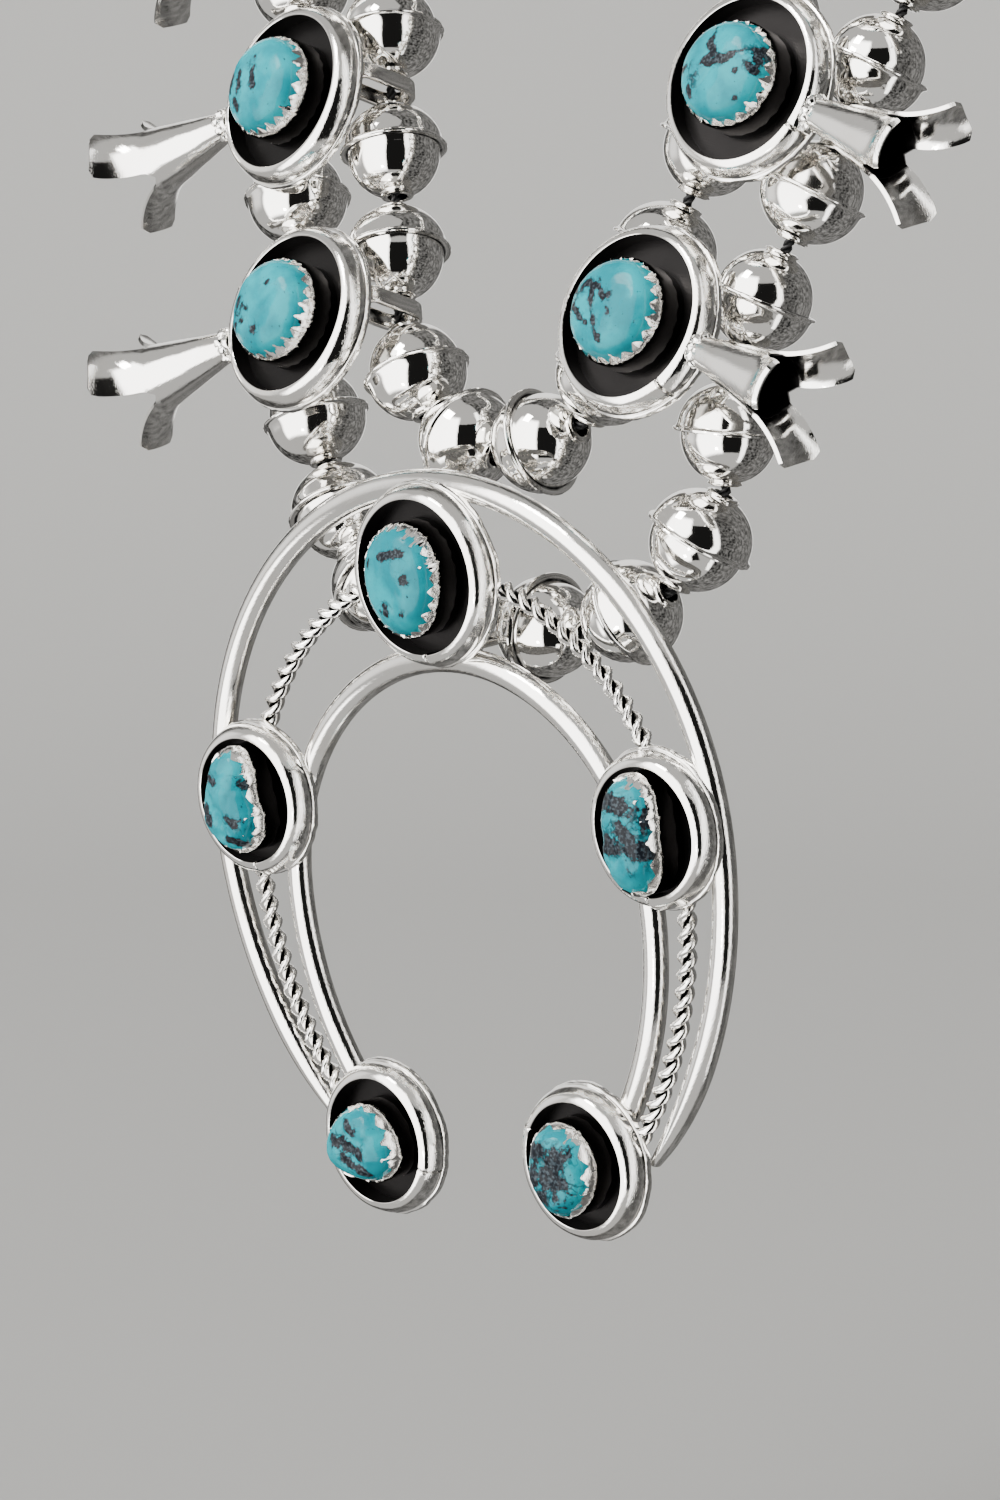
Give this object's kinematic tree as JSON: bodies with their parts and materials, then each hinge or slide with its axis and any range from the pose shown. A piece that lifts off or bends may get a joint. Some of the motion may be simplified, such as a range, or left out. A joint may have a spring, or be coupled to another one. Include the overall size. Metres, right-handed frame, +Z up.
{
  "type": "squash blossom necklace",
  "caption": "Double strand of hollow silver beads with trumpet blossoms on shadowbox settings, and a crescent pendant that swings on its bail; worn round the neck.",
  "frame": {"origin": "the nape, where the necklace sits on the neck, in the middle of the clasp, midway between the two strands", "axes": "+Z up, -Y to the front, +X to the right in a front view"},
  "size_m": [0.1712, 0.1656, 0.2784],
  "materials": {
    "bead_silver": "polished sterling silver, hollow beads with a soldered seam",
    "sheet_silver": "polished sterling silver, oxidised black inside boxes and trumpets",
    "cast_silver": "polished heavy sterling silver wire and band, oxidised black in its recesses",
    "turquoise": "polished turquoise with dark brown-black matrix",
    "thread": "black stringing thread"
  },
  "bodies": {
    "strands": {"outer_beads_right": "bead_silver", "outer_beads_left": "bead_silver", "inner_beads_right": "bead_silver", "inner_beads_left": "bead_silver", "outer_thread": "thread", "inner_thread": "thread", "clasp": "cast_silver", "blossom_right_1": "sheet_silver", "blossom_right_2": "sheet_silver", "blossom_right_3": "sheet_silver", "blossom_right_4": "sheet_silver", "blossom_right_5": "sheet_silver", "blossom_left_1": "sheet_silver", "blossom_left_2": "sheet_silver", "blossom_left_3": "sheet_silver", "blossom_left_4": "sheet_silver", "blossom_left_5": "sheet_silver", "stone_right_1": "turquoise", "stone_right_2": "turquoise", "stone_right_3": "turquoise", "stone_right_4": "turquoise", "stone_right_5": "turquoise", "stone_left_1": "turquoise", "stone_left_2": "turquoise", "stone_left_3": "turquoise", "stone_left_4": "turquoise", "stone_left_5": "turquoise"},
    "pendant": {"naja": "cast_silver", "naja_stone_1": "turquoise", "naja_stone_2": "turquoise", "naja_stone_3": "turquoise", "naja_stone_4": "turquoise", "naja_stone_5": "turquoise"}
  },
  "joints": [
    {"name": "naja_swing", "type": "hinge", "parent": "strands", "child": "pendant", "pos_m": [0.0023, -0.13999, -0.202], "axis": [1, 0, 0], "range_deg": [-10, 25]}
  ]
}
